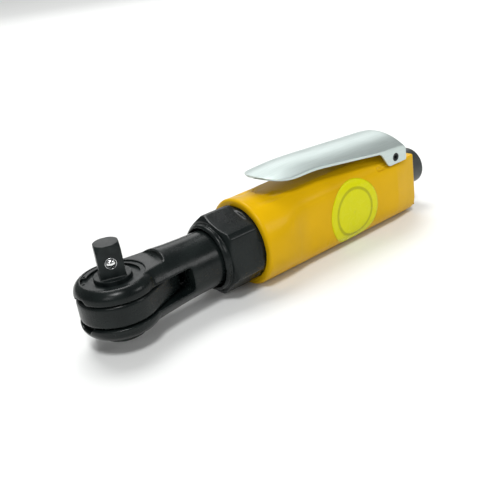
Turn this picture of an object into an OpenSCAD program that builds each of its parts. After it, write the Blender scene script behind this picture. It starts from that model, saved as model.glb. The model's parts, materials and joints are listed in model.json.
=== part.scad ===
// Air ratchet with a 3/8 inch square drive and a 1/4 inch air inlet.
// Z is the axis of the square drive, and its shoulder, where a socket seats, is z = 0.
// The motor axis runs along +X from the head to the inlet, shoulder_z below the shoulder.

/* [Square drive] */
// Side of the square drive
drive_side = 9.53; // [9.4:0.01:9.6]
// Height of the square above its shoulder
drive_h = 13; // [11:0.5:14]
// Turn of the square about its axis
drive_turn = -22; // [-45:1:45]
// Diameter of the detent ball
ball_d = 4; // [3.6:0.1:4.2]

/* [Head] */
// Greatest radius of the ears
ear_r = 15.8; // [15.7:0.1:16.5]
// Height of the ears' flat faces from the motor axis
ear_top = 10.7; // [10.5:0.1:11]
// Height of the slot between the ears
slot_h = 10; // [9.8:0.1:10.2]
// Thickness of the yoke
yoke_h = 9.5; // [9:0.1:9.5]
// Distance from the drive axis to the slot's rear wall
slot_rear = 27.5; // [27.3:0.1:28]
// Radius of the neck where it meets the nut
neck_r = 12.1; // [11.8:0.1:12.2]

/* [Lock nut] */
// Distance across the flats of the nut
nut_af = 31; // [30.5:0.1:31.4]
// Turn of the nut about the motor axis, as it happened to tighten
nut_turn = 10; // [0:1:59]

/* [Motor housing] */
// Outer radius of the motor housing
body_r = 19.4; // [19.2:0.1:20]
// Half the distance between the side flats
flat_y = 16; // [16:0.1:16.5]
// Distance from the drive axis to the rear face
body_rear = 159; // [158:0.5:160]
// Radius of the bore that holds the motor
motor_bore_r = 14.15; // [14.1:0.01:14.2]

/* [Throttle] */
// Height of the throttle lever's pin above the motor axis
lever_pin_z = 14.9; // [14.5:0.1:15]
// Distance from the drive axis to the throttle lever's pin
lever_pin_x = 143.1; // [142.5:0.1:143.5]
// Thickness of the lever's sheet
lever_sheet = 1; // [0.8:0.1:1.2]

/* [Gears] */
// Teeth of the sun pinion, and of each planet
sun_teeth = 12; // [12]
// Teeth of the ring gear
ring_teeth = 36; // [36]
// Gear module
gear_m = 0.65; // [0.64:0.01:0.66]
// Teeth inside the yoke
yoke_teeth = 48; // [48]

/* [Hidden] */
$fn = 96;

eps = 0.01;
fit = 0.05;              // running clearance on a radius
press = 0.01;            // clearance between fixed pieces
shoulder_z = 11;         // height of the drive's shoulder above the motor axis
slot_z = slot_h / 2;

// Head and anvil
ear_bore_r = 12.1;
ear_round = 4.5;         // radius of the ears' rounded shoulders
lower_bore_r = 9.4;
spot_r = 19.6;           // cutter that faces the ears
flare = 3.6;             // how much wider the neck is at the drive axis
flare_l = 40;            // where the flare ends
anvil_mid_r = 9.6;
anvil_flange_top = 8.5;
anvil_boss_r = 7.4;
hub_bore_r = 4.25;       // bore of the anvil for the reverse lever's hub
pocket_z = 4.4;          // half height of the pawl pocket
yoke_r = 15.5;
yoke_round = 1.6;        // radius of the yoke's rounded edges
arm_x = 24.4;            // end of the yoke's arm
arm_half = 5.95;         // half width there
tooth_tip_r = 10.1;
tooth_root_r = 10.65;
tooth_pitch = 360 / yoke_teeth;

// Crank
crank_e = 1.6;           // throw of the crank pin
crank_pin_r = 1.2;
bushing_x = 22.5;        // middle of the drive bushing
bushing_l = 4.4;
bushing_r = 2.2;
fork_half = 3.95;        // half width of the yoke's fork: room for the whole throw
neck_bore_r = 8.5;
shaft_r = 5;

// Stack inside the motor housing, along X
nut_x0 = 44.5;
nut_x1 = 60;
body_x0 = 60.6;
flange_x0 = 70.2;
stack_x0 = 73.3;
carrier_x0 = 74;
carrier_x1 = 77.4;
planet_x0 = 78;
planet_x1 = 84.4;
plate_f_x0 = 86;
plate_f_x1 = 91.5;
cylinder_x0 = 91.6;
cylinder_x1 = 123.4;
plate_r_x1 = 129;
gasket_x1 = 129.7;
stack_r = motor_bore_r - fit;
thread_r = 16.1;         // bore for the nut's thread

// Gears
pitch_sun = gear_m * sun_teeth / 2;
pitch_ring = gear_m * ring_teeth / 2;
planet_orbit = 2 * pitch_sun;
pressure = 25;           // pressure angle
addendum = 0.8 * gear_m;
dedendum = 1.05 * gear_m;
backlash = 0.06;         // taken off each tooth's width
planet_pin_r = 1.6;

// Motor
bore_r = 11.3;
bore_off = 1.3;          // the cylinder bore's offset, downwards
rotor_r = 9.85;
vane_t = 1.6;
vane_root = 3.7;
vane_tip = 9.75;
vane_turn = 18;
port_orbit = 9.2;        // radius of the curved air port
race_r = 6.5;
race_in_r = 3.02;
ball_orbit = 4.76;
race_ball_r = 1.05;

// Valve and inlet
plunger_x = 133;
plunger_r = 2;
plunger_top = 24.1;
passage_r = 4;
chamber_r = 7;
chamber_x0 = 140;
seat_x1 = 144;
stem_r = 1.3;
spigot_x0 = 153.5;
inlet_r = 8.8;
inlet_x1 = 171;
inlet_bore_r = 5.72;     // minor radius of a 1/4 inch pipe thread
screen_r = 5;

// Lever
blade_r = 28;            // radius of the blade's crown
blade_w = 16;            // half width at the ears
tip_w = 13;              // half width at the tip
blade_x = 134;
blade_z = 20.2;
blade_tilt = 3.6;
tip_x = 83.7;              // centre of the tip's rounding

black = [0.15, 0.16, 0.16];
steel = [0.72, 0.73, 0.74];
bronze = [0.72, 0.56, 0.3];

// ---------- helpers ----------

// Everything is drawn about the motor axis, then moved so that the shoulder is z = 0
module placed() translate([0, 0, -shoulder_z]) children();

module rod_x(x0, x1, r) translate([x0, 0, 0]) rotate([0, 90, 0]) cylinder(r = r, h = x1 - x0);

module rod_z(z0, z1, r) translate([0, 0, z0]) cylinder(r = r, h = z1 - z0);

module tube_x(x0, x1, ro, ri) difference() {
    rod_x(x0, x1, ro);
    rod_x(x0 - 1, x1 + 1, ri);
}

module tube_z(z0, z1, ro, ri) difference() {
    rod_z(z0, z1, ro);
    rod_z(z0 - 1, z1 + 1, ri);
}

// A box from its lowest to its highest corner
module block(a, b) translate(a) cube(b - a);

// Turned about X: points are [x, radius]
module turned_x(points) rotate([0, 90, 0]) rotate_extrude() polygon([for (p = points) [p[1], p[0]]]);

// Extruded along X from x0 to x1, with the outline's x axis pointing down
module along_x(x0, x1) translate([x0, 0, 0]) rotate([0, 90, 0]) linear_extrude(x1 - x0) children();

// A side view outline, [x, z], as thick as y1 - y0
module side_plate(y0, y1) translate([0, y1, 0]) rotate([90, 0, 0]) linear_extrude(y1 - y0) children();

// Evenly curved run of points from a to b, easing at both ends
function ease(a, b, n) = [for (i = [0:n]) let (t = i / n)
    [a[0] + (b[0] - a[0]) * t, a[1] + (b[1] - a[1]) * (1 - cos(180 * t)) / 2]];

// Involute external gear outline, one tooth centred on angle 0
function inv(a) = tan(a) * 180 / PI - a;
function gear_flank(z, r, half, s) = let (rb = gear_m * z / 2 * cos(pressure), a = acos(min(1, rb / r)),
    t = half + inv(pressure) - inv(a)) [r * cos(t), s * r * sin(t)];
function turn(p, a) = [p[0] * cos(a) - p[1] * sin(a), p[0] * sin(a) + p[1] * cos(a)];
function gear_points(z, add, ded, slack) = let (rp = gear_m * z / 2, rb = rp * cos(pressure),
    half = 90 / z - slack / rp * 90 / PI, r0 = max(rb, rp - ded), n = 4)
    [for (i = [0:z - 1]) for (p = concat(
        [turn([rp - ded, 0], -180 / z * 0.62), gear_flank(z, r0, half, -1)],
        [for (k = [1:n]) gear_flank(z, r0 + (rp + add - r0) * k / n, half, -1)],
        [for (k = [n:-1:0]) gear_flank(z, r0 + (rp + add - r0) * k / n, half, 1)],
        [turn([rp - ded, 0], 180 / z * 0.62)])) turn(p, 360 / z * i)];

module gear_2d(z, add, ded, slack) polygon(gear_points(z, add, ded, slack));

// Coil spring along Z from 0 to l
module coil(r, wire, l, turns, cone = 0) {
    sides = 8;
    steps = 14;
    n = round(turns * steps);
    rings = [for (i = [0:n]) for (k = [0:sides - 1]) let (a = 360 * i / steps, b = 360 * k / sides,
        q = r + cone * i / n + wire / 2 * cos(b))
        [q * cos(a), q * sin(a), wire / 2 + (l - wire) * i / n + wire / 2 * sin(b)]];
    walls = [for (i = [0:n - 1]) for (k = [0:sides - 1]) let (a = i * sides + k, b = i * sides + (k + 1) % sides)
        [a, a + sides, b + sides, b]];
    ends = [[for (k = [0:sides - 1]) k], [for (k = [sides - 1:-1:0]) n * sides + k]];
    polyhedron(rings, concat(walls, ends));
}

// ---------- head ----------

function neck_radius(x) = neck_r + flare * pow(max(0, 1 - x / flare_l), 2);

// Half of the domed disc round the drive axis
module ear_dome() rotate_extrude() {
    square([ear_r, ear_top - ear_round]);
    square([ear_r - ear_round, ear_top]);
    translate([ear_r - ear_round, ear_top - ear_round]) circle(ear_round);
}

module ratchet_housing() color(black) placed() {
    bands = 10;
    flange_r = thread_r - fit;
    notch_w = 5;
    notch_h = 1.7;
    difference() {
        union() {
            for (m = [0, 1]) mirror([0, 0, m]) intersection() {
                ear_dome();
                block([-20, -20, 0], [20, 20, 20]);
            }
            difference() {
                turned_x(concat([[0, 0]],
                    [for (i = [0:bands]) [flare_l * i / bands, neck_radius(flare_l * i / bands)]],
                    [[stack_x0 - 0.1, neck_r], [stack_x0 - 0.1, 0]]));
                for (m = [0, 1]) mirror([0, 0, m]) rod_z(ear_top, 20, spot_r);
            }
            rod_x(flange_x0, stack_x0 - 0.1, flange_r);
        }
        block([-20, -20, -slot_z], [slot_rear, 20, slot_z]);
        rod_z(slot_z - 1, ear_top + 1, ear_bore_r);
        rod_z(-ear_top - 1, 1 - slot_z, lower_bore_r);
        rod_z(9.25, 10.25, ear_bore_r + 0.7);
        for (m = [0, 1]) mirror([0, 0, m]) translate([-ear_r - 1, 0, 0]) rotate([90, 0, 90])
            linear_extrude(4) polygon([[-notch_w / 2 - notch_h, slot_z - eps], [notch_w / 2 + notch_h, slot_z - eps],
                [notch_w / 2, slot_z + notch_h], [-notch_w / 2, slot_z + notch_h]]);
        rod_x(slot_rear - 1, 32, 4.6);
        rod_x(30.6, stack_x0 + 1, neck_bore_r);
    }
}

module crank_bush() color(bronze) placed() tube_x(35, 44, neck_bore_r - press, shaft_r + fit);

module needle_shell() color(steel) placed() {
    tube_x(56, 68, neck_bore_r - press, 7.25);
}

module needle_rollers() color(steel) placed() {
    n = 14;
    for (i = [0:n - 1]) rotate([360 / n * i, 0, 0]) translate([0, 0, (shaft_r + 7.25) / 2]) rod_x(57, 67, 1.08);
}

module retaining_ring() color(black) placed() difference() {
    tube_z(9.3, 10.2, ear_bore_r + 0.65, 10.5);
    rotate(150) block([8, -2.5, 9], [14, 2.5, 11]);
    for (s = [-1, 1]) rotate(150 + 17 * s) translate([11.5, 0, 9]) cylinder(r = 0.6, h = 2);
}

module thrust_washer() color(steel) placed() tube_z(anvil_flange_top + 0.05, 9.25, ear_bore_r - 0.1, anvil_boss_r + 0.1);

module yoke_teeth_cut() linear_extrude(30, center = true) polygon([for (i = [0:yoke_teeth - 1])
    for (p = [[-0.04, tooth_tip_r], [0.04, tooth_tip_r], [0.46, tooth_root_r], [0.54, tooth_root_r]])
        p[1] * [cos((i + p[0]) * tooth_pitch), sin((i + p[0]) * tooth_pitch)]]);

module yoke() color(black) placed() {
    difference() {
        hull() for (a = [0:30:90]) {
            inset = yoke_round * (1 - cos(a));
            half_h = yoke_h / 2 - yoke_round * (1 - sin(a));
            translate([0, 0, -half_h]) cylinder(r = yoke_r - inset, h = 2 * half_h, $fn = 64);
            block([arm_x - 1, inset - arm_half, -half_h], [arm_x, arm_half - inset, half_h]);
        }
        yoke_teeth_cut();
        block([20.5, -fork_half, -10], [30, fork_half, 10]);
        translate([20.5, 0, 0]) for (s = [-1, 1]) translate([0, s * (fork_half - 1.5), 0]) rod_z(-10, 10, 1.5);
        block([19, 1.5 - fork_half, -10], [21, fork_half - 1.5, 10]);
    }
}

// ---------- anvil ----------

ball_z = shoulder_z + 6;
ball_out = 0.95;         // how far the ball stands out of the square
pawl_pin_x = 7.2;
pawl_pin_r = 1.5;
pawl_tilt = 10;
engage_gap = 0.08;       // clearance between the engaged pawl and the teeth

module anvil() color(black) placed() difference() {
    union() {
        rod_z(slot_z + 0.15, anvil_flange_top, ear_bore_r - fit);
        rod_z(-slot_z, slot_z + 1, anvil_mid_r);
        rod_z(-9.6, -slot_z, lower_bore_r - fit);
        rod_z(anvil_flange_top - 1, shoulder_z, anvil_boss_r);
        rotate(drive_turn) intersection() {
            block([-drive_side / 2, -drive_side / 2, shoulder_z - 1],
                [drive_side / 2, drive_side / 2, shoulder_z + drive_h]);
            rotate_extrude() polygon([[0, 0], [anvil_boss_r, 0], [anvil_boss_r, shoulder_z + drive_h - 3.6],
                [4.9, shoulder_z + drive_h], [0, shoulder_z + drive_h]]);
        }
    }
    rod_z(-12, pocket_z, hub_bore_r);
    block([0.8, -12, -pocket_z], [12, 12, pocket_z]);
    translate([pawl_pin_x, 0, 0]) rod_z(-8.5, 7.5, pawl_pin_r + press);
    rotate(drive_turn) translate([0, 0, ball_z]) rotate([90, 0, 0]) cylinder(r = ball_d / 2 + fit, h = 6);
    rotate(drive_turn) translate([0, 2.5, ball_z]) rotate([90, 0, 0]) cylinder(r = ball_d / 2 - 0.5, h = 6);
}

module pawl_pin() color(steel) placed() translate([pawl_pin_x, 0, 0]) rod_z(-8.4, 7.4, pawl_pin_r);

// One end of the pawl as it stands in mesh: s is the side
module pawl_end(s) intersection() {
    difference() {
        linear_extrude(2 * pocket_z - 0.3, center = true)
            polygon([for (i = [0:yoke_teeth - 1])
                for (p = [[-0.1, tooth_tip_r - engage_gap], [0.1, tooth_tip_r - engage_gap],
                    [0.48, tooth_root_r - 0.05 - engage_gap], [0.52, tooth_root_r - 0.05 - engage_gap]])
                    p[1] * [cos((i + p[0]) * tooth_pitch), sin((i + p[0]) * tooth_pitch)]]);
        rod_z(-10, 10, 5.6);
    }
    linear_extrude(20, center = true) polygon([[4, 0], for (a = [35, 55]) 14 * [cos(a), s * sin(a)],
        5.4 * [cos(57), s * sin(57)]]);
}

// Turn about the pawl pin
module about_pin(a) translate([pawl_pin_x, 0, 0]) rotate(a) translate([-pawl_pin_x, 0, 0]) children();

module pawl() color(steel) placed() about_pin(pawl_tilt) difference() {
    union() {
        for (s = [-1, 1]) about_pin(s * pawl_tilt) pawl_end(s);
        intersection() {
            tube_z(0.15 - pocket_z, pocket_z - 0.15, 9, 5.3);
            linear_extrude(20, center = true) polygon([[0, 0], 14 * [cos(34), sin(34)], 14 * [cos(34), -sin(34)]]);
        }
    }
    translate([pawl_pin_x, 0, 0]) rod_z(-10, 10, pawl_pin_r + fit);
    for (s = [-1:1]) about_pin(s * pawl_tilt) rod_z(-10, 10, hub_bore_r + 0.1);
}

// The hub's turn to the plunger's direction, and the lever's thumb piece
plunger_turn = -24;
plunger_tip = 4.95;

module reverse_lever() color(black) placed() difference() {
    union() {
        rod_z(-12.5, pocket_z - 0.3, hub_bore_r - fit);
        rod_z(-13.6, -9.8, lower_bore_r - 0.5);
        rotate(115) translate([0, 0, -14.2]) linear_extrude(2.6) difference() {
            union() {
                circle(8);
                translate([0, -4]) square([11.5, 8]);
                translate([11.5, 0]) circle(4);
            }
            for (i = [-1:1]) translate([16.6, i * 3]) circle(1.2);
        }
    }
    rotate(plunger_turn) rotate([0, 90, 0]) cylinder(r = 1.3, h = 6);
}

module pawl_plunger() color(steel) placed() rotate(plunger_turn) intersection() {
    translate([2.6, 0, 0]) rotate([0, 90, 0]) cylinder(r = 1.25, h = plunger_tip - 2.6);
    translate([plunger_tip - 2.2, 0, 0]) sphere(2.2);
}

module pawl_spring() color(steel) placed() rotate(plunger_turn) translate([0.1, 0, 0]) rotate([0, 90, 0])
    coil(0.9, 0.35, 2.45, 4);

module detent_ball() color("silver") placed() rotate(drive_turn)
    translate([0, -drive_side / 2 + ball_d / 2 - ball_out, ball_z]) sphere(ball_d / 2);

module detent_spring() color(steel) placed() rotate(drive_turn) translate([0, 2.4, ball_z])
    rotate([90, 0, 0]) coil(1.1, 0.4, 4.1, 5);

// ---------- crank and gears ----------

module crankshaft() color(steel) placed() difference() {
    union() {
        translate([0, 0, crank_e]) rod_x(bushing_x - bushing_l / 2, 32, crank_pin_r);
        rod_x(31, 35, 6.2);
        rod_x(34, carrier_x0 + 1, shaft_r);
        rod_x(carrier_x0, carrier_x1, 11.2);
    }
    for (a = [90, 210, 330]) rotate([0, 90, 0]) rotate(a) translate([planet_orbit, 0, carrier_x0 - 1])
        cylinder(r = planet_pin_r + press, h = 6);
}

module planet_pins() color(steel) placed() for (a = [90, 210, 330]) rotate([0, 90, 0]) rotate(a)
    translate([planet_orbit, 0, carrier_x0 + 0.2]) cylinder(r = planet_pin_r, h = 10.8);

module drive_bushing() color(bronze) placed() {
    barrel_r = 6;        // radius of its barrelled outside
    translate([bushing_x, 0, crank_e]) rotate([0, 90, 0]) rotate_extrude() difference() {
        intersection() {
            translate([0, -bushing_l / 2]) square([bushing_r, bushing_l]);
            translate([bushing_r - barrel_r, 0]) circle(barrel_r);
        }
        translate([0, -bushing_l]) square([crank_pin_r + fit, 2 * bushing_l]);
    }
}

module planet(i) color(steel) placed() rotate([0, 90, 0]) rotate(90 + 120 * (i - 1))
    translate([planet_orbit, 0, planet_x0]) rotate(-90 - 120 * (i - 1) + 180 / sun_teeth)
        linear_extrude(planet_x1 - planet_x0) difference() {
            gear_2d(sun_teeth, addendum, dedendum, backlash);
            circle(planet_pin_r + fit);
        }

module ring_gear() color(steel) placed() difference() {
    rod_x(stack_x0, plate_f_x0 - 0.1, stack_r);
    rod_x(stack_x0 - 1, planet_x0 - 0.3, 12.8);
    along_x(stack_x0 - 1, plate_f_x0 + 1) rotate(180 / ring_teeth)
        gear_2d(ring_teeth, dedendum, addendum, -backlash);
}

module lock_nut() color(black) placed() {
    collar_r = 14.4;
    collar_x0 = 41.9;
    corner_r = 17.25;        // the corners are turned down to this
    bore = neck_r + 0.8;
    difference() {
        union() {
            intersection() {
                along_x(nut_x0, nut_x1) rotate(-nut_turn) circle(r = nut_af / 2 / cos(30), $fn = 6);
                turned_x([[nut_x0, 0], [nut_x0, 15.3], [nut_x0 + 1.3, corner_r], [nut_x1 - 0.8, corner_r],
                    [nut_x1, 16.6], [nut_x1, 0]]);
            }
            turned_x([[collar_x0, 0], [collar_x0, collar_r - 0.9], [collar_x0 + 0.9, collar_r],
                [nut_x0 - 0.5, collar_r], [nut_x0 - 0.2, collar_r - 0.6], [nut_x0 + 1, collar_r - 0.6], [nut_x0 + 1, 0]]);
            rod_x(nut_x1 - 1, flange_x0 - 0.1, thread_r - fit);
        }
        rod_x(40, 80, bore);
        turned_x([[collar_x0 - 1, 0], [collar_x0 - 1, bore + 1.5], [collar_x0 + 0.5, bore], [collar_x0 + 0.5, 0]]);
    }
}

// ---------- motor ----------

module bearing_pocket(x0, x1) rod_x(x0, x1, race_r + press);

module outer_race(x0) color(steel) placed() difference() {
    tube_x(x0, x0 + 4, race_r, 5.35);
    translate([x0 + 2, 0, 0]) rotate([0, 90, 0]) rotate_extrude() translate([ball_orbit, 0])
        circle(race_ball_r + 0.03);
}

module inner_race(x0) color(steel) placed() difference() {
    tube_x(x0, x0 + 4, 4.2, race_in_r);
    translate([x0 + 2, 0, 0]) rotate([0, 90, 0]) rotate_extrude() translate([ball_orbit, 0])
        circle(race_ball_r + 0.03);
}

module race_balls(x0) color(steel) placed() for (i = [0:7]) rotate([45 * i, 0, 0])
    translate([x0 + 2, 0, ball_orbit]) sphere(race_ball_r);

module front_end_plate() color(steel) placed() difference() {
    rod_x(plate_f_x0, plate_f_x1, stack_r);
    bearing_pocket(plate_f_x0 + 1.3, plate_f_x1 + 1);
    rod_x(plate_f_x0 - 1, plate_f_x1, 5.2);
    rotate([0, 90, 0]) translate([-12.7, 0, plate_f_x1 - 2.5]) cylinder(r = 0.8, h = 4);
}

module rear_end_plate() color(steel) placed() difference() {
    rod_x(cylinder_x1 + 0.1, plate_r_x1, stack_r);
    bearing_pocket(cylinder_x1 - 1, cylinder_x1 + 4.4);
    rod_x(cylinder_x1, plate_r_x1 + 1, 5.2);
    rotate([0, 90, 0]) translate([-12.7, 0, cylinder_x1 - 1]) cylinder(r = 0.8, h = 4);
    for (a = [50:10:100]) rotate([0, 90, 0]) rotate(a) translate([port_orbit, 0, cylinder_x1 - 1])
        cylinder(r = 1.2, h = 9);
}

module motor_cylinder() color(steel) placed() difference() {
    rod_x(cylinder_x0, cylinder_x1, stack_r);
    translate([0, 0, -bore_off]) rod_x(cylinder_x0 - 1, cylinder_x1 + 1, bore_r);
    rotate([0, 90, 0]) translate([-12.7, 0, cylinder_x0 - 1]) cylinder(r = 0.8, h = 40);
    for (i = [0:4]) translate([cylinder_x0 + 6 + 5 * i, 0, 0]) rotate([-90, 0, 0]) cylinder(r = 1.6, h = 16);
}

module cylinder_dowel() color(steel) placed() rotate([0, 90, 0]) translate([-12.7, 0, plate_f_x1 - 2.4])
    cylinder(r = 0.79, h = cylinder_x1 - plate_f_x1 + 5);

module rotor() color(steel) placed() difference() {
    union() {
        rod_x(plate_f_x1 + 0.3, cylinder_x1 - 0.2, rotor_r);
        rod_x(planet_x1, cylinder_x1 + 4.3, race_in_r - press);
        rod_x(plate_f_x1 - 0.05, cylinder_x1 + 0.3, 4);
        along_x(planet_x0 - 0.1, planet_x1 + 0.4) gear_2d(sun_teeth, addendum, dedendum, backlash);
    }
    for (i = [1:5]) rotate([0, 90, 0]) rotate(vane_turn + 72 * i)
        block([vane_root - 0.1, -vane_t / 2 - fit, plate_f_x1 + 0.32], [20, vane_t / 2 + fit, cylinder_x1 + 1]);
}

module vane(i) color([0.45, 0.3, 0.18]) placed() rotate([0, 90, 0]) rotate(vane_turn + 72 * i)
    block([vane_root, -vane_t / 2, plate_f_x1 + 0.4], [vane_tip, vane_t / 2, cylinder_x1 - 0.3]);

module motor_gasket() color([0.35, 0.33, 0.28]) placed() difference() {
    rod_x(plate_r_x1 + 0.02, gasket_x1 - 0.02, stack_r);
    rod_x(100, 140, 6);
    for (a = [50:10:100]) rotate([0, 90, 0]) rotate(a) translate([port_orbit, 0, 120]) cylinder(r = 1.4, h = 15);
}

// ---------- motor housing ----------

// Plan outline of the housing's sides, grown by g
function body_plan(g) = concat([[body_x0, body_r + g]], ease([72.5, body_r + g], [79.5, flat_y + g], 6),
    [[143.5, flat_y + g], [body_rear, 12.6 + g]]);

// The housing's outside, grown by g, without its ends' details
module body_form(g) intersection() {
    rod_x(body_x0, body_rear, body_r + g);
    linear_extrude(60, center = true) polygon(concat(body_plan(g),
        [for (i = [len(body_plan(g)) - 1:-1:0]) [body_plan(g)[i][0], -body_plan(g)[i][1]]]));
}

module motor_housing() color([0.91, 0.75, 0.1]) placed() {
    recess_z = 17.5;
    recess_r = 8.6;
    ledge_z = 11.1;
    rib_y = 14.2;
    foot_z = 18.5;
    rim = 0.8;
    difference() {
        body_form(0);
        // bevelled front rim
        difference() {
            rod_x(body_x0 - 1, body_x0 + rim, body_r + 1);
            turned_x([[body_x0 - 1, 0], [body_x0 - 1, body_r - rim - 1], [body_x0 + rim + 1, body_r + 1],
                [body_x0 + rim + 1, 0]]);
        }
        // flat under the lever, with a milled round end
        translate([73 + recess_r, 0, 0]) rod_z(recess_z, 25, recess_r);
        block([73 + recess_r, -20, recess_z], [body_rear + 1, 20, 25]);
        // ledges beside the lever's pin, and the low rear end
        for (s = [-1, 1]) mirror([0, s > 0 ? 0 : 1, 0]) block([132, rib_y, ledge_z], [170, 20, 30]);
        block([151, -20, ledge_z], [170, 20, 30]);
        // foot
        block([50, -20, -30], [170, 20, -foot_z]);
        // bores
        rod_x(body_x0 - 1, stack_x0, thread_r);
        rod_x(body_x0, gasket_x1, motor_bore_r);
        rod_x(gasket_x1 - 1, chamber_x0 + 1, passage_r);
        rod_x(chamber_x0, body_rear + 1, chamber_r);
        tube_x(body_rear - 1.1, body_rear + 1, 8.4, 6);
        // throttle plunger and its bushing
        translate([plunger_x, 0, 0]) rod_z(0, 30, plunger_r + 0.3);
        translate([plunger_x, 0, 0]) rod_z(12, 30, 3.2 + press);
        translate([plunger_x, 0, 0]) rod_z(8.2, 10, 3.4);
        // lever pin
        translate([lever_pin_x, 0, lever_pin_z]) rotate([90, 0, 0]) cylinder(r = 1.9 + press, h = 60, center = true);
        // exhaust holes in the foot
        for (i = [0:5]) translate([98 + 4.4 * i, 0, 0]) rotate([180, 0, 0]) cylinder(r = 1.3, h = 30);
    }
}

module label_disc() color([0.8, 0.8, 0.1]) placed() intersection() {
    difference() {
        body_form(0.16);
        body_form(0.02);
    }
    translate([114, -5, -1.7]) rotate([90, 0, 0]) cylinder(r = 14.9, h = 20);
}

// ---------- throttle ----------

// A solid cylinder along the blade, whose top is the blade's crown, less t
module crown(t) translate([blade_x, 0, blade_z]) rotate([0, blade_tilt, 0])
    translate([0, 0, -sqrt(blade_r * blade_r - blade_w * blade_w)]) rod_x(-90, 40, blade_r - t);

module blade_plan() linear_extrude(50) {
    translate([tip_x, 0]) circle(tip_w);
    polygon([[152, blade_w], [131, blade_w], [104, tip_w], [tip_x, tip_w],
        [tip_x, -tip_w], [104, -tip_w], [131, -blade_w], [152, -blade_w]]);
}

module throttle_lever() color([0.73, 0.78, 0.78]) placed() {
    ear_bottom = 11.65;
    rear_x = 150.3;
    difference() {
        intersection() {
            crown(0);
            blade_plan();
            side_plate(-20, 20) polygon([[60, 40], [rear_x - 2, 40], [rear_x - 1, 23.8], [rear_x, 22.6],
                [rear_x, ear_bottom], [60, ear_bottom]]);
        }
        // inside of the channel, and the open sides in front of the ears
        intersection() {
            crown(lever_sheet);
            union() {
                block([50, lever_sheet - blade_w, -5], [170, blade_w - lever_sheet, 40]);
                side_plate(-20, 20) polygon([[50, 0], [145.6, 0], [127.7, 30], [50, 30]]);
            }
        }
        translate([lever_pin_x, 0, lever_pin_z]) rotate([90, 0, 0])
            cylinder(r = 1.9 + fit, h = 60, center = true);
    }
}

module lever_pin() color(black) placed() translate([lever_pin_x, 0, lever_pin_z]) rotate([90, 0, 0])
    difference() {
        cylinder(r = 1.9, h = 2 * blade_w - 0.3, center = true);
        cylinder(r = 0.9, h = 40, center = true);
    }

module throttle_plunger() color(steel) placed() translate([plunger_x, 0, 0]) intersection() {
    nose_r = 1.4;        // round nose that pushes the valve's stem
    crown_r = 21;        // radius of the crowned top
    union() {
        translate([0, 0, stem_r + 0.06 + nose_r]) sphere(nose_r);
        rod_z(stem_r + nose_r, 5, nose_r);
        rod_z(4, plunger_top, plunger_r);
    }
    translate([0, 0, plunger_top - crown_r]) sphere(crown_r);
}

module plunger_bushing() color(bronze) placed() translate([plunger_x, 0, 0]) tube_z(12.02, 17.3, 3.2, plunger_r + fit);

module o_ring(r, wire) rotate_extrude() translate([r, 0]) circle(wire);

module plunger_o_ring() color([0.08, 0.08, 0.08]) placed() translate([plunger_x, 0, 9.1])
    o_ring(plunger_r + 0.66, 0.62);

module valve_seat() color(bronze) placed() tube_x(chamber_x0 + 1.05, seat_x1, chamber_r - press, 3.6);

module throttle_valve() color([0.3, 0.3, 0.3]) placed() {
    rod_x(seat_x1 + 0.05, seat_x1 + 2.2, 5.2);
    rod_x(plunger_x - 1.8, seat_x1 + 1, stem_r);
}

module valve_spring() color(steel) placed() translate([seat_x1 + 2.25, 0, 0]) rotate([0, 90, 0])
    coil(2.6, 0.6, spigot_x0 - seat_x1 - 2.3, 5, 2);

module inlet_bushing() color([0.28, 0.3, 0.31]) placed() difference() {
    union() {
        rod_x(spigot_x0, body_rear + 1, chamber_r - press);
        turned_x([[body_rear + 0.05, 0], [body_rear + 0.05, inlet_r], [inlet_x1 - 0.8, inlet_r],
            [inlet_x1, inlet_r - 0.8], [inlet_x1, 0]]);
    }
    rod_x(spigot_x0 - 1, inlet_x1 + 1, 3.9);
    rod_x(158.4, inlet_x1 + 1, screen_r);
    rod_x(159.2, inlet_x1 + 1, inlet_bore_r);
    turned_x([[inlet_x1 + 0.1, 0], [inlet_x1 + 0.1, inlet_bore_r + 1.1], [inlet_x1 - 1, inlet_bore_r], [inlet_x1 - 1, 0]]);
}

module inlet_screen() color("silver") placed() difference() {
    rod_x(158.45, 159.1, screen_r - press);
    for (y = [-3:1.5:3]) for (z = [-3:1.5:3]) translate([0, y, z]) rod_x(158, 160, 0.5);
}

module inlet_o_ring() color([0.08, 0.08, 0.08]) placed() translate([body_rear - 0.5, 0, 0]) rotate([0, 90, 0])
    o_ring(7.7, 0.48);

ratchet_housing();
crank_bush();
needle_shell();
needle_rollers();
retaining_ring();
thrust_washer();
yoke();
anvil();
pawl_pin();
pawl();
reverse_lever();
pawl_plunger();
pawl_spring();
detent_ball();
detent_spring();
crankshaft();
planet_pins();
drive_bushing();
planet(1);  // planet_1
planet(2);  // planet_2
planet(3);  // planet_3
ring_gear();
lock_nut();
front_end_plate();
outer_race(plate_f_x0 + 1.4);  // front_outer_race
race_balls(plate_f_x0 + 1.4);  // front_balls
inner_race(plate_f_x0 + 1.4);  // front_inner_race
motor_cylinder();
cylinder_dowel();
rotor();
vane(1);  // vane_1
vane(2);  // vane_2
vane(3);  // vane_3
vane(4);  // vane_4
vane(5);  // vane_5
rear_end_plate();
outer_race(cylinder_x1 + 0.35);  // rear_outer_race
race_balls(cylinder_x1 + 0.35);  // rear_balls
inner_race(cylinder_x1 + 0.35);  // rear_inner_race
motor_gasket();
motor_housing();
label_disc();
throttle_lever();
lever_pin();
throttle_plunger();
plunger_bushing();
plunger_o_ring();
valve_seat();
throttle_valve();
valve_spring();
inlet_bushing();
inlet_screen();
inlet_o_ring();
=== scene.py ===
"""Air ratchet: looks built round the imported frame. Row frame in metres: the drive's shoulder is at the
origin, Z is the drive's axis and +X runs to the inlet. Sizes here are in millimetres about the motor axis."""
import json
import math

import bmesh
import bpy
from mathutils import Matrix, Vector

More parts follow.
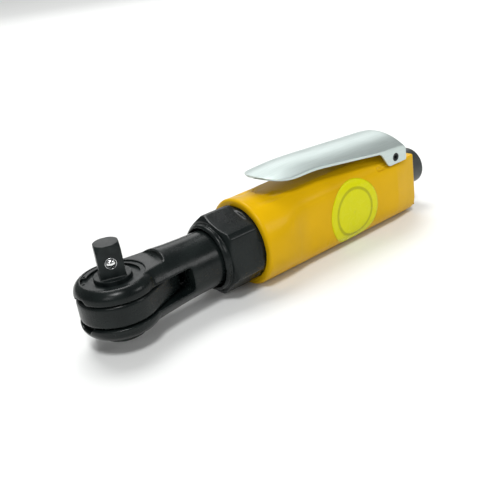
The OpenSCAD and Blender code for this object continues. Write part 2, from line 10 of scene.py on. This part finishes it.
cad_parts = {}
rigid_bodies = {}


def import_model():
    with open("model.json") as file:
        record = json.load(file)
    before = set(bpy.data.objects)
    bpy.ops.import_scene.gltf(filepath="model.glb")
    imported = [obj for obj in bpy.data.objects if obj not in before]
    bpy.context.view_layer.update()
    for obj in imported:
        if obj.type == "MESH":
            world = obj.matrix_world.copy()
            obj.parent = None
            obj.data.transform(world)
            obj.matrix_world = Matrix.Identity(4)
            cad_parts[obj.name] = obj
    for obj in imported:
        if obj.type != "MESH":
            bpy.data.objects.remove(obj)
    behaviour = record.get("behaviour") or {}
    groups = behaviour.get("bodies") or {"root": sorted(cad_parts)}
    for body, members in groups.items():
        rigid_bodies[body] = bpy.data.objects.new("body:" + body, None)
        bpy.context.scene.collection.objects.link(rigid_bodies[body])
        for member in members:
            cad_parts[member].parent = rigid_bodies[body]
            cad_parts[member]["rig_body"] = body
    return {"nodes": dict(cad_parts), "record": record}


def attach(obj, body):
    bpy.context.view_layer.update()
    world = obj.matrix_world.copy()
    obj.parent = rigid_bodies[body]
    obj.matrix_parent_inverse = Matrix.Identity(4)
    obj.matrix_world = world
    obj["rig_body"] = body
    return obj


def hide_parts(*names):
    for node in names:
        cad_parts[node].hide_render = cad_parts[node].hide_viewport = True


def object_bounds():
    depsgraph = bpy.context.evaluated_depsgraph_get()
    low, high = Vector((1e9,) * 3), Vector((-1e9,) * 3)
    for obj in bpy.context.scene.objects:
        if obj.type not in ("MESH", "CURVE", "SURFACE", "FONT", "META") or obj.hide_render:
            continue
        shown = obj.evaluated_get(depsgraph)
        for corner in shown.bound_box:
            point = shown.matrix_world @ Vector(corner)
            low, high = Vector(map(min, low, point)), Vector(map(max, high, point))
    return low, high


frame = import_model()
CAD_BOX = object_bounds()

MM = 0.001
MOTOR_AXIS = Vector((0, 0, -11 * MM))     # the drive's shoulder stands 11 mm above the motor axis
NODES = frame["nodes"]


def from_motor(x, y, z):
    """A point given in millimetres about the motor axis, in the row frame."""
    return Vector((x, y, z)) * MM + MOTOR_AXIS


# ---------- camera, floor and light ----------

# The camera that fits the photo's outlines: angles in degrees, lengths in millimetres
CAMERA_AZIMUTH, CAMERA_ELEVATION, CAMERA_ROLL = -36.44, 24.19, -8.58
CAMERA_AIM = from_motor(64.91, 0, -5.23)
CAMERA_DISTANCE = 328.66
CAMERA_LENS, CAMERA_SENSOR = 55.2, 36


def add_camera():
    azimuth, elevation, roll = (math.radians(a) for a in (CAMERA_AZIMUTH, CAMERA_ELEVATION, CAMERA_ROLL))
    level = math.cos(elevation)
    back = Vector((math.sin(azimuth) * level, -math.cos(azimuth) * level, math.sin(elevation)))
    right = Vector((math.cos(azimuth), math.sin(azimuth), 0))
    up = back.cross(right)
    turned_right = right * math.cos(roll) + up * math.sin(roll)
    turned_up = up * math.cos(roll) - right * math.sin(roll)
    cam = bpy.data.objects.new("camera", bpy.data.cameras.new("camera"))
    bpy.context.scene.collection.objects.link(cam)
    turn = Matrix((turned_right, turned_up, back)).transposed()
    cam.matrix_world = Matrix.Translation(CAMERA_AIM + back * CAMERA_DISTANCE * MM) @ turn.to_4x4()
    cam.data.sensor_width = CAMERA_SENSOR
    cam.data.lens = CAMERA_LENS
    cam.data.clip_start = 0.01
    bpy.context.scene.camera = cam


# Lamps: name, direction from the tool, distance, size (metres) and power (watts)
LAMPS = (
    ("overhead", (0.15, 0.35, 0.92), 1.6, (0.9, 0.7), 15),
    ("behind", (0.54, 0.73, 0.42), 1.3, (1.2, 0.5), 3),
    ("right", (0.54, -0.72, 0.43), 1.2, (0.3, 0.3), 1.8),
    ("front", (-0.75, -0.55, 0.5), 1.2, (0.35, 0.35), 1.6),
)
LAMP_AIM = Vector((0.06, 0, -0.01))
KEY_DIRECTION, KEY_STRENGTH, KEY_ANGLE = Vector((-0.25, -0.42, 0.87)), 1.6, 14
WORLD_STRENGTH = 0.2
FLOOR_SIZE, FLOOR_COLOUR = 6, (0.86, 0.87, 0.86, 1)


def area_light(name, direction, distance, size, power):
    """A rectangular lamp that looks at the middle of the tool."""
    data = bpy.data.lights.new(name, "AREA")
    data.shape = "RECTANGLE"
    data.size, data.size_y = size
    data.energy = power
    lamp = bpy.data.objects.new(name, data)
    lamp.location = LAMP_AIM + Vector(direction).normalized() * distance
    lamp.rotation_euler = (LAMP_AIM - lamp.location).to_track_quat("-Z", "Y").to_euler()
    bpy.context.scene.collection.objects.link(lamp)


def add_floor():
    bpy.ops.mesh.primitive_plane_add(size=FLOOR_SIZE, location=(LAMP_AIM.x, 0, CAD_BOX[0].z))
    floor = bpy.context.object
    floor.name = "floor"
    mat = bpy.data.materials.new("floor")
    mat.use_nodes = True
    bsdf = mat.node_tree.nodes["Principled BSDF"]
    bsdf.inputs["Base Color"].default_value = FLOOR_COLOUR
    bsdf.inputs["Roughness"].default_value = 0.6
    bsdf.inputs["Specular IOR Level"].default_value = 0.1
    floor.data.materials.append(mat)


def add_lights():
    world = bpy.data.worlds.new("studio")
    world.use_nodes = True
    background = world.node_tree.nodes["Background"]
    background.inputs["Color"].default_value = (1, 1, 1, 1)
    background.inputs["Strength"].default_value = WORLD_STRENGTH
    bpy.context.scene.world = world
    bpy.context.scene.view_settings.view_transform = "Standard"
    sun = bpy.data.objects.new("key", bpy.data.lights.new("key", "SUN"))
    sun.data.energy = KEY_STRENGTH
    sun.data.angle = math.radians(KEY_ANGLE)
    sun.rotation_euler = KEY_DIRECTION.to_track_quat("Z", "Y").to_euler()
    bpy.context.scene.collection.objects.link(sun)
    for lamp in LAMPS:
        area_light(*lamp)


# ---------- materials ----------

class Surface:
    """A material with the few procedural helpers that every finish here uses."""

    def __init__(self, name, metal=0.0, specular=0.5):
        self.mat = bpy.data.materials.new(name)
        self.mat.use_nodes = True
        self.nodes = self.mat.node_tree.nodes
        self.links = self.mat.node_tree.links
        self.bsdf = self.nodes["Principled BSDF"]
        self.bsdf.inputs["Metallic"].default_value = metal
        self.bsdf.inputs["Specular IOR Level"].default_value = specular
        self.coords = self.nodes.new("ShaderNodeTexCoord").outputs["Object"]
        self.height = None

    def colour(self, value):
        self.bsdf.inputs["Base Color"].default_value = (*value, 1)

    def stretched(self, scale):
        mapping = self.nodes.new("ShaderNodeMapping")
        mapping.inputs["Scale"].default_value = scale
        self.links.new(self.coords, mapping.inputs["Vector"])
        return mapping.outputs["Vector"]

    def distance_from(self, point):
        node = self.nodes.new("ShaderNodeVectorMath")
        node.operation = "DISTANCE"
        node.inputs[1].default_value = point
        self.links.new(self.coords, node.inputs[0])
        return node.outputs["Value"]

    def noise(self, scale, detail=3, stretch=None):
        node = self.nodes.new("ShaderNodeTexNoise")
        node.inputs["Scale"].default_value = scale
        node.inputs["Detail"].default_value = detail
        self.links.new(self.stretched(stretch) if stretch else self.coords, node.inputs["Vector"])
        return node.outputs["Fac"]

    def ramp(self, value, stops):
        node = self.nodes.new("ShaderNodeValToRGB")
        elements = node.color_ramp.elements
        while len(elements) < len(stops):
            elements.new(0.5)
        for element, (at, colour) in zip(elements, stops):
            element.position = at
            element.color = (*colour, 1)
        self.links.new(value, node.inputs["Fac"])
        return node.outputs["Color"]

    def span(self, value, low, high, start=0.25, end=0.75):
        node = self.nodes.new("ShaderNodeMapRange")
        node.inputs["From Min"].default_value = start
        node.inputs["From Max"].default_value = end
        node.inputs["To Min"].default_value = low
        node.inputs["To Max"].default_value = high
        self.links.new(value, node.inputs["Value"])
        return node.outputs["Result"]

    def to(self, output, name):
        self.links.new(output, self.bsdf.inputs[name])

    def bump(self, value, strength, distance):
        node = self.nodes.new("ShaderNodeBump")
        node.inputs["Strength"].default_value = strength
        node.inputs["Distance"].default_value = distance
        self.links.new(value, node.inputs["Height"])
        if self.height:
            self.links.new(self.height, node.inputs["Normal"])
        self.height = node.outputs["Normal"]
        self.links.new(self.height, self.bsdf.inputs["Normal"])


def black_head():
    """Forged steel, blackened: blotchy and softly pitted."""
    s = Surface("black_head", specular=0.22)
    tones = [(0.35, (0.004, 0.006, 0.006)), (0.65, (0.009, 0.0125, 0.012))]
    s.to(s.ramp(s.noise(90, 4), tones), "Base Color")
    s.to(s.span(s.noise(160, 5), 0.2, 0.32), "Roughness")
    s.bump(s.noise(1500, 3), 0.08, 0.00008)
    s.bump(s.noise(260, 2), 0.2, 0.00012)
    return s.mat


def black_oxide():
    s = Surface("black_oxide", 0.1, specular=0.24)
    tones = [(0.3, (0.005, 0.0075, 0.0075)), (0.7, (0.014, 0.019, 0.019))]
    s.to(s.ramp(s.noise(300, 4), tones), "Base Color")
    s.to(s.span(s.noise(500, 4), 0.27, 0.42), "Roughness")
    s.bump(s.noise(2500, 2), 0.1, 0.00006)
    return s.mat


def yellow_paint():
    s = Surface("yellow_paint", specular=0.08)
    tones = [(0.3, (0.62, 0.36, 0.001)), (0.7, (0.7, 0.41, 0.002))]
    s.to(s.ramp(s.noise(45, 4), tones), "Base Color")
    s.to(s.span(s.noise(120, 4), 0.26, 0.4), "Roughness")
    s.bsdf.inputs["Coat Weight"].default_value = 0.03
    s.bsdf.inputs["Coat Roughness"].default_value = 0.15
    s.bump(s.noise(550, 2), 0.12, 0.0002)
    return s.mat


def lever_silver():
    """Plated sheet, brushed along the lever."""
    s = Surface("lever_silver", 0.7)
    brushed = s.noise(1400, 5, stretch=(0.04, 1, 1))
    s.to(s.ramp(brushed, [(0.3, (0.53, 0.61, 0.59)), (0.7, (0.59, 0.67, 0.65))]), "Base Color")
    s.to(s.span(s.noise(900, 4, stretch=(0.05, 1, 1)), 0.32, 0.42), "Roughness")
    s.bump(brushed, 0.03, 0.00003)
    return s.mat


def turned_steel(name="bright_steel", colour=(0.62, 0.63, 0.64)):
    s = Surface(name, 1.0)
    s.colour(colour)
    s.to(s.span(s.noise(900, 4), 0.22, 0.4), "Roughness")
    s.bump(s.noise(2400, 2), 0.08, 0.00005)
    return s.mat


def label_print():
    """A round sticker: a plain field with one thin darker ring, placed by its share of LABEL_SPAN."""
    s = Surface("label", specular=0.15)
    radius = s.span(s.distance_from(LABEL_CENTRE), 0, 1, 0, LABEL_SPAN * MM)
    field, ring = (0.66, 0.65, 0.003), (0.43, 0.42, 0.003)
    s.to(s.ramp(radius, [(0.62, field), (0.65, ring), (0.7, ring), (0.73, field)]), "Base Color")
    s.to(s.span(s.noise(300, 3), 0.2, 0.32), "Roughness")
    s.bump(s.noise(400, 2), 0.05, 0.0001)
    return s.mat


def plain(name, colour, rough, metal=0.0):
    s = Surface(name, metal)
    s.colour(colour)
    s.to(s.span(s.noise(900, 4), rough * 0.85, rough * 1.2), "Roughness")
    s.bump(s.noise(1800, 2), 0.1, 0.00006)
    return s.mat


# The sticker, in millimetres about the motor axis
LABEL_X, LABEL_Z = 114, -1.7
LABEL_RADIUS = 14.9
LABEL_SPAN = 16                         # the ring's place is given as a share of this
LABEL_GAP = 0.06                        # keeps the sticker just clear of the paint
LABEL_CENTRE = from_motor(LABEL_X, -16, LABEL_Z)

MATERIALS = {
    "black_head": black_head(),
    "black_oxide": black_oxide(),
    "yellow_paint": yellow_paint(),
    "lever_silver": lever_silver(),
    "bright_steel": turned_steel(),
    "bronze": turned_steel("bronze", (0.6, 0.42, 0.2)),
    "ball_chrome": plain("ball_chrome", (0.85, 0.86, 0.86), 0.12, 1.0),
    "label": label_print(),
    "inlet_grey": plain("inlet_grey", (0.03, 0.036, 0.035), 0.4),
    "vane_fibre": plain("vane_fibre", (0.3, 0.17, 0.09), 0.6),
    "black_rubber": plain("black_rubber", (0.02, 0.02, 0.02), 0.6),
}


def dress_nodes():
    for part in frame["record"]["subparts"]:
        mesh = NODES[part["node"]].data
        mesh.materials.clear()
        mesh.materials.append(MATERIALS[part["material_slot"]])


# ---------- pieces ----------

def node_slot(node):
    return next(part["material_slot"] for part in frame["record"]["subparts"] if part["node"] == node)


def add_piece(name, mesh, body, slot, replaced=()):
    piece = bpy.data.objects.new(name, mesh)
    bpy.context.scene.collection.objects.link(piece)
    mesh.materials.clear()
    mesh.materials.append(MATERIALS[slot])
    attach(piece, body)
    if replaced:
        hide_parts(*replaced)
    return piece


def apply_modifiers(piece):
    depsgraph = bpy.context.evaluated_depsgraph_get()
    shaped = bpy.data.meshes.new_from_object(piece.evaluated_get(depsgraph))
    piece.modifiers.clear()
    piece.data = shaped
    for face in shaped.polygons:
        face.use_smooth = True


FACES_KEPT = 0.5      # share of the softened mesh that is kept


def soften(node, voxel, rounds):
    """Stands a copy of a CAD node in its place with its edges rounded, as cast or tumbled: voxel is in mm."""
    mesh = NODES[node].data.copy()
    piece = add_piece(node + "_form", mesh, NODES[node]["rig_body"], node_slot(node), [node])
    remesh = piece.modifiers.new("even", "REMESH")
    remesh.mode = "VOXEL"
    remesh.voxel_size = voxel * MM
    relax = piece.modifiers.new("relax", "SMOOTH")
    relax.iterations = rounds
    thin = piece.modifiers.new("thin", "DECIMATE")
    thin.ratio = FACES_KEPT
    apply_modifiers(piece)
    return piece


# The grip, in millimetres about the motor axis. Its flat sides blend into its round.
BODY_R = 19.4
BODY_FLAT = 16
BLEND = 4.5
GRIP_FRONT = 62                         # the flats start to grow here
FLAT_FULL = 88                          # and are full from here
SCOOP_START, SCOOP_END = 72.5, 79.5     # where the CAD solid's flats start
TAIL_START, TAIL_SLOPE = 143.5, (BODY_FLAT - 12.6) / 15.5
CROWN_FLAT = 18.2                       # higher up and lower down, the surface is left as it is
SIDE_SKIN = 0.7                         # what lies deeper than this is inside
HOLLOW_X, HOLLOW_HALF, HOLLOW_DEPTH = 71.5, 11, 1.3
HOLLOW_EDGE, HOLLOW_FADE = 16.5, 1.5    # the hollow fades out down to this height
HOLLOW_SKIN = 17.8                      # radius outside which the surface sinks


def eased(x, x0, x1, a, b):
    """From a at x0 to b at x1, level at both ends."""
    t = min(1, max(0, (x - x0) / (x1 - x0)))
    return a + (b - a) * (1 - math.cos(math.pi * t)) / 2


def blended_side(flat, z):
    """Half width of the grip at height z with its flats at +-flat: a smooth minimum of flat and round."""
    round_side = math.sqrt(max(0, BODY_R ** 2 - z * z))
    mix = max(0, BLEND - abs(flat - round_side)) / BLEND
    return min(flat, round_side) - mix * mix * BLEND / 4


def tip_hollow(x, y, z):
    """Depth of the shallow hollow in the grip's crown that takes the lever's tip when it is pressed."""
    if z < HOLLOW_EDGE or math.hypot(y, z) < HOLLOW_SKIN or abs(x - HOLLOW_X) > HOLLOW_HALF:
        return 0
    along = math.cos(math.pi / 2 * (x - HOLLOW_X) / HOLLOW_HALF) ** 2
    return HOLLOW_DEPTH * along * min(1, (z - HOLLOW_EDGE) / HOLLOW_FADE)


def blend_grip(piece):
    """Smooths the lines where the grip's flats meet its round, and sinks the hollow."""
    for vert in piece.data.vertices:
        p = (vert.co - MOTOR_AXIS) / MM
        vert.co.z -= tip_hollow(*p) * MM
        if p.x < GRIP_FRONT or abs(p.z) > CROWN_FLAT:
            continue
        taper = max(0, p.x - TAIL_START) * TAIL_SLOPE
        scoop = eased(p.x, SCOOP_START, SCOOP_END, BODY_R, BODY_FLAT) - taper
        sharp = min(scoop, math.sqrt(BODY_R ** 2 - p.z ** 2))
        if abs(p.y) > sharp - SIDE_SKIN:
            flat = eased(p.x, GRIP_FRONT, FLAT_FULL, BODY_R + BLEND, BODY_FLAT) - taper
            vert.co.y = math.copysign((blended_side(flat, p.z) + abs(p.y) - sharp) * MM, p.y)


# Node, voxel size in millimetres, rounds of smoothing
SOFTENED = (
    ("ratchet_housing", 0.34, 13),
    ("yoke", 0.3, 3),
    ("anvil", 0.25, 3),
    ("lock_nut", 0.32, 4),
    ("inlet_bushing", 0.25, 3),
    ("reverse_lever", 0.25, 3),
)
GRIP = ("motor_housing", 0.4, 5)


def grid_mesh(name, rows, close=False):
    """A mesh from equally long rows of points."""
    bm = bmesh.new()
    made = [[bm.verts.new(p) for p in row] for row in rows]
    for a, b in zip(made, made[1:]):
        for i in range(len(a) if close else len(a) - 1):
            j = (i + 1) % len(a)
            bm.faces.new((a[i], a[j], b[j], b[i]))
    bmesh.ops.recalc_face_normals(bm, faces=bm.faces)
    mesh = bpy.data.meshes.new(name)
    bm.to_mesh(mesh)
    bm.free()
    return mesh


# The lever's sheet, in millimetres about the motor axis
LEVER_REAR = 150.25
LEVER_TIP = 71.0
LEVER_TOP = 20.15                       # edge of the crown at LEVER_MIDDLE
LEVER_MIDDLE, LEVER_TILT = 134, math.tan(math.radians(3.6))
LEVER_SHEET = 1.0
CROWN_R = 28
CROWN_HALF = 16
CROWN_MARGIN = 0.05                     # keeps the ears inside the grip's width
TIP_HALF = 13
FLARE_START, FLARE_LENGTH = 96, 36
DROOP, DROOP_LENGTH, DROOP_POWER = 2.6, 26, 1.6
HOOD_DROP, HOOD_LENGTH = 1.7, 3.2
EAR_START, EAR_LENGTH, EAR_BOTTOM = 133.6, 4.6, 11.8
LIP, LIP_GROWTH, LIP_LENGTH = 0.5, 0.6, 16
LEVER_PIN = from_motor(143.1, 0, 14.9)
PIN_HOLE_R = 1.95
TIP_ANGLES = (8, 20, 34, 50, 68, 90)    # stations round the tip, in degrees
STATIONS = (90, 96, 104, 110, 116, 122, 127, 131, 133.4, 134.8, 136.2, 137.4, 138.4, 140, 143, 146, 148,
            149.4, LEVER_REAR)


def share(distance, length):
    """How far along a length a distance is, from 0 to 1."""
    return min(1, max(0, distance / length))


def lever_half(x):
    """Half width of the lever's plan: a round tip, then a slow flare to the ears."""
    if x < LEVER_TIP + TIP_HALF:
        u = 1 - (x - LEVER_TIP) / TIP_HALF
        return TIP_HALF * math.sqrt(1 - u * u)
    return TIP_HALF + (CROWN_HALF - CROWN_MARGIN - TIP_HALF) * share(x - FLARE_START, FLARE_LENGTH)


def lever_height(x, y):
    """Height of the crown: a tilted arc that droops at the tip and rounds over at the rear."""
    arc = math.sqrt(CROWN_R ** 2 - y * y) - math.sqrt(CROWN_R ** 2 - CROWN_HALF ** 2)
    droop = DROOP * max(0, (LEVER_TIP + DROOP_LENGTH - x) / DROOP_LENGTH) ** DROOP_POWER
    hood = HOOD_DROP * (1 - math.sqrt(1 - share(x - LEVER_REAR + HOOD_LENGTH, HOOD_LENGTH) ** 2))
    return LEVER_TOP + arc - (x - LEVER_MIDDLE) * LEVER_TILT - droop - hood


def lever_skirt(x):
    """How far the sheet hangs below the crown's edge at the sides: a small lip, and the ears at the rear."""
    edge = lever_height(x, lever_half(x))
    lip = LIP + LIP_GROWTH * share(x - LEVER_TIP, LIP_LENGTH)
    return lip + (edge - EAR_BOTTOM - lip) * share(x - EAR_START, EAR_LENGTH)


def cylinder_across(name, centre, radius, half):
    """A plain cylinder along Y, to cut with."""
    bm = bmesh.new()
    bmesh.ops.create_cone(bm, cap_ends=True, segments=48, radius1=radius * MM, radius2=radius * MM,
                          depth=2 * half * MM)
    bmesh.ops.rotate(bm, verts=bm.verts, matrix=Matrix.Rotation(math.pi / 2, 3, "X"))
    mesh = bpy.data.meshes.new(name)
    bm.to_mesh(mesh)
    bm.free()
    cutter = bpy.data.objects.new(name, mesh)
    cutter.location = centre
    bpy.context.scene.collection.objects.link(cutter)
    return cutter


def lever_row(x):
    """One cross-section of the sheet, from the foot of one side over the crown to the other."""
    half, hang = lever_half(x), lever_skirt(x)
    over = [half * math.sin(math.radians(a)) for a in range(-90, 91, 15)]
    crown = [from_motor(x, y, lever_height(x, y)) for y in over]
    left, right = ([from_motor(x, edge, lever_height(x, half) - hang * t) for t in (0.12, 0.5, 1)]
                   for edge in (-half, half))
    return left[::-1] + crown + right


def throttle_lever():
    tip = [LEVER_TIP + TIP_HALF * (1 - math.cos(math.radians(a))) for a in TIP_ANGLES]
    mesh = grid_mesh("throttle_lever_sheet", [lever_row(x) for x in (*tip, *STATIONS)])
    piece = add_piece("throttle_lever_sheet", mesh, "throttle_lever", "lever_silver", ["throttle_lever"])
    smooth = piece.modifiers.new("smooth", "SUBSURF")
    smooth.levels = smooth.render_levels = 2
    sheet = piece.modifiers.new("sheet", "SOLIDIFY")
    sheet.thickness = LEVER_SHEET * MM
    sheet.offset = -1
    hole = piece.modifiers.new("hole", "BOOLEAN")
    hole.object = cutter = cylinder_across("hole_cutter", LEVER_PIN, PIN_HOLE_R, 20)
    hole.solver = "EXACT"
    rim = piece.modifiers.new("rim", "BEVEL")
    rim.width = 0.2 * MM
    rim.segments = 2
    rim.limit_method = "ANGLE"
    rim.angle_limit = math.radians(50)
    apply_modifiers(piece)
    bpy.data.objects.remove(cutter)


def label_disc():
    """The sticker follows the housing's flat side and its round."""
    rings, spokes = 20, 72
    rows = []
    for i in range(rings + 1):
        r = max(0.05, LABEL_RADIUS * i / rings)
        rows.append([])
        for k in range(spokes):
            a = 2 * math.pi * k / spokes
            x, z = LABEL_X + r * math.cos(a), LABEL_Z + r * math.sin(a)
            rows[-1].append(from_motor(x, -blended_side(BODY_FLAT, z) - LABEL_GAP, z))
    mesh = grid_mesh("label_sticker", rows, close=True)
    piece = add_piece("label_sticker", mesh, "tool_body", "label", ["label_disc"])
    thick = piece.modifiers.new("thick", "SOLIDIFY")
    thick.thickness = 0.1 * MM
    thick.offset = 1
    apply_modifiers(piece)


# The ring staked round the detent ball, in millimetres: its face is turned to where the ball looks
STAKE_TURN = math.radians(-22)
STAKE_HEIGHT, STAKE_OUT = 17, 4.72
STAKE_R, STAKE_WIDTH, STAKE_PROUD = 2.12, 0.12, 0.1


def ball_stake():
    out = Vector((math.sin(STAKE_TURN), -math.cos(STAKE_TURN), 0))
    across = Vector((math.cos(STAKE_TURN), math.sin(STAKE_TURN), 0))
    centre = from_motor(0, 0, STAKE_HEIGHT) + out * STAKE_OUT * MM
    rows = []
    for i in range(49):
        a = 2 * math.pi * i / 48
        spoke = across * math.cos(a) + Vector((0, 0, 1)) * math.sin(a)
        rows.append([])
        for k in range(12):
            b = 2 * math.pi * k / 12
            wide, proud = STAKE_R + STAKE_WIDTH * math.cos(b), STAKE_PROUD * math.sin(b)
            rows[-1].append(centre + (spoke * wide + out * proud) * MM)
    add_piece("ball_stake", grid_mesh("ball_stake", rows, close=True), "anvil", "bright_steel")


add_camera()
add_floor()
add_lights()
dress_nodes()
for softened in SOFTENED:
    soften(*softened)
blend_grip(soften(*GRIP))
throttle_lever()
label_disc()
ball_stake()
